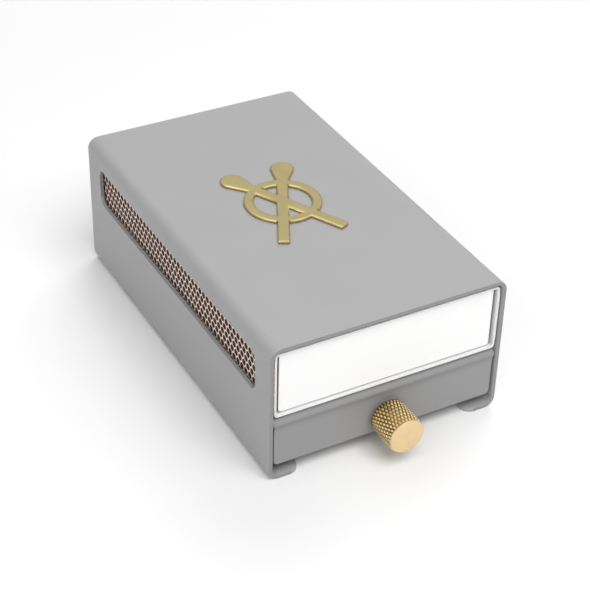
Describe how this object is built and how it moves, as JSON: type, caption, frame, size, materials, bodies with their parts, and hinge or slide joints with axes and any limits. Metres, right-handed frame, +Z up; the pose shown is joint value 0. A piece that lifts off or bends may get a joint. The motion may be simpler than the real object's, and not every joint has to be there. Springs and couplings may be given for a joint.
{
  "type": "matchbox holder",
  "caption": "Folded sheet metal sleeve that holds a household matchbox over a shallow drawer, with a side window to the striking strip, a brass emblem and a knurled brass drawer knob.",
  "frame": {"origin": "middle of the footprint, knob included, on the surface that the holder stands on", "axes": "+X across to the right as seen from the open front, +Y from the knob to the closed rear, +Z up"},
  "size_m": [0.07, 0.1272, 0.043],
  "materials": {
    "sleeve_paint": "satin powder coat",
    "drawer_paint": "satin powder coat",
    "inner_paint": "satin powder coat",
    "emblem_brass": "satin, with polished edges",
    "knob_brass": "fine turned, knurled",
    "steel": "zinc plated",
    "nylon": "matt",
    "box_card": "white coated card",
    "striker_paper": "rough dark dots on a pale strip",
    "match_wood": "bare aspen",
    "match_head": "matt, slightly rough"
  },
  "bodies": {
    "housing": {"outer_sleeve": "sleeve_paint", "back_panel": "inner_paint", "shelf": "inner_paint", "emblem": "emblem_brass"},
    "drawer": {"drawer_front": "drawer_paint", "drawer_tray": "inner_paint", "drawer_glide_left": "nylon", "drawer_glide_right": "nylon", "knob": "knob_brass", "knob_washer": "steel", "knob_screw": "steel"},
    "matchbox": {"matchbox_sleeve": "box_card", "striker_left": "striker_paper", "striker_right": "striker_paper"},
    "match_tray": {"matchbox_tray": "box_card", "match_sticks": "match_wood", "match_heads": "match_head"}
  },
  "joints": [
    {"name": "drawer_slide", "type": "slide", "parent": "housing", "child": "drawer", "axis": [0, -1, 0], "range_m": [0, 0.085]},
    {"name": "matchbox_slide", "type": "slide", "parent": "housing", "child": "matchbox", "axis": [0, -1, 0], "range_m": [0, 0.09]},
    {"name": "tray_slide", "type": "slide", "parent": "matchbox", "child": "match_tray", "axis": [0, -1, 0], "range_m": [0, 0.06]}
  ]
}
